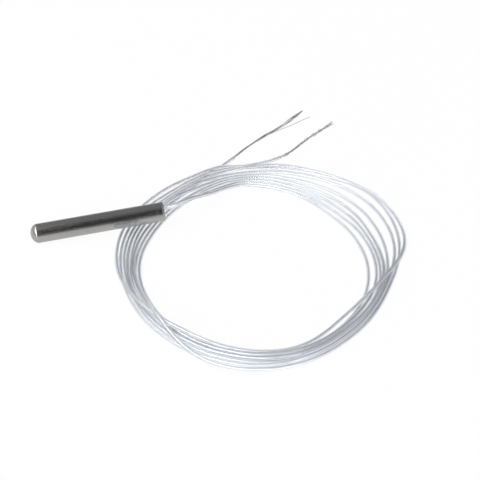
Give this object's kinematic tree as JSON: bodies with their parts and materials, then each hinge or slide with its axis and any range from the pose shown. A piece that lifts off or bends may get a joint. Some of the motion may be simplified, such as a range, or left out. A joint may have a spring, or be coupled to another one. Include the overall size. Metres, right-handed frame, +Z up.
{
  "type": "rtd probe",
  "caption": "Resistance temperature probe: a slim closed steel sheath with a domed tip and a rolled groove, and clear-insulated leads wound in a loose coil that end in bare strands.",
  "frame": {"origin": "on the floor, below the middle of the lying sheath", "axes": "+X from the domed tip to the open end along the floor, +Z up, +Y completes the frame; the sheath's own axis rises 4 degrees towards its open end"},
  "size_m": [0.1202, 0.1252, 0.0092],
  "materials": {
    "sheath_steel": "polished",
    "seal_rubber": "satin",
    "potting_resin": "gloss",
    "filler_powder": "matt",
    "element_ceramic": "matt",
    "platinum": "satin",
    "cover_glass": "gloss",
    "bead_glaze": "gloss",
    "nickel_wire": "satin",
    "crimp_brass": "satin",
    "sleeve_plastic": "satin",
    "plated_strands": "bright",
    "clear_insulation": "gloss, clear"
  },
  "bodies": {
    "root": {"sheath": "sheath_steel", "end_seal": "seal_rubber", "potting": "potting_resin", "tip_filler": "filler_powder", "element_substrate": "element_ceramic", "platinum_film": "platinum", "glass_cover": "cover_glass", "lead_bead": "bead_glaze", "element_lead_1": "nickel_wire", "element_lead_2": "nickel_wire", "splice_crimp_1": "crimp_brass", "splice_crimp_2": "crimp_brass", "splice_sleeve_1": "sleeve_plastic", "splice_sleeve_2": "sleeve_plastic", "lead_1_conductor": "plated_strands", "lead_2_conductor": "plated_strands", "lead_1_insulation": "clear_insulation", "lead_2_insulation": "clear_insulation", "lead_coil": "clear_insulation", "lead_1_tail": "clear_insulation", "lead_2_tail": "clear_insulation", "lead_1_strands": "plated_strands", "lead_2_strands": "plated_strands"}
  },
  "joints": []
}
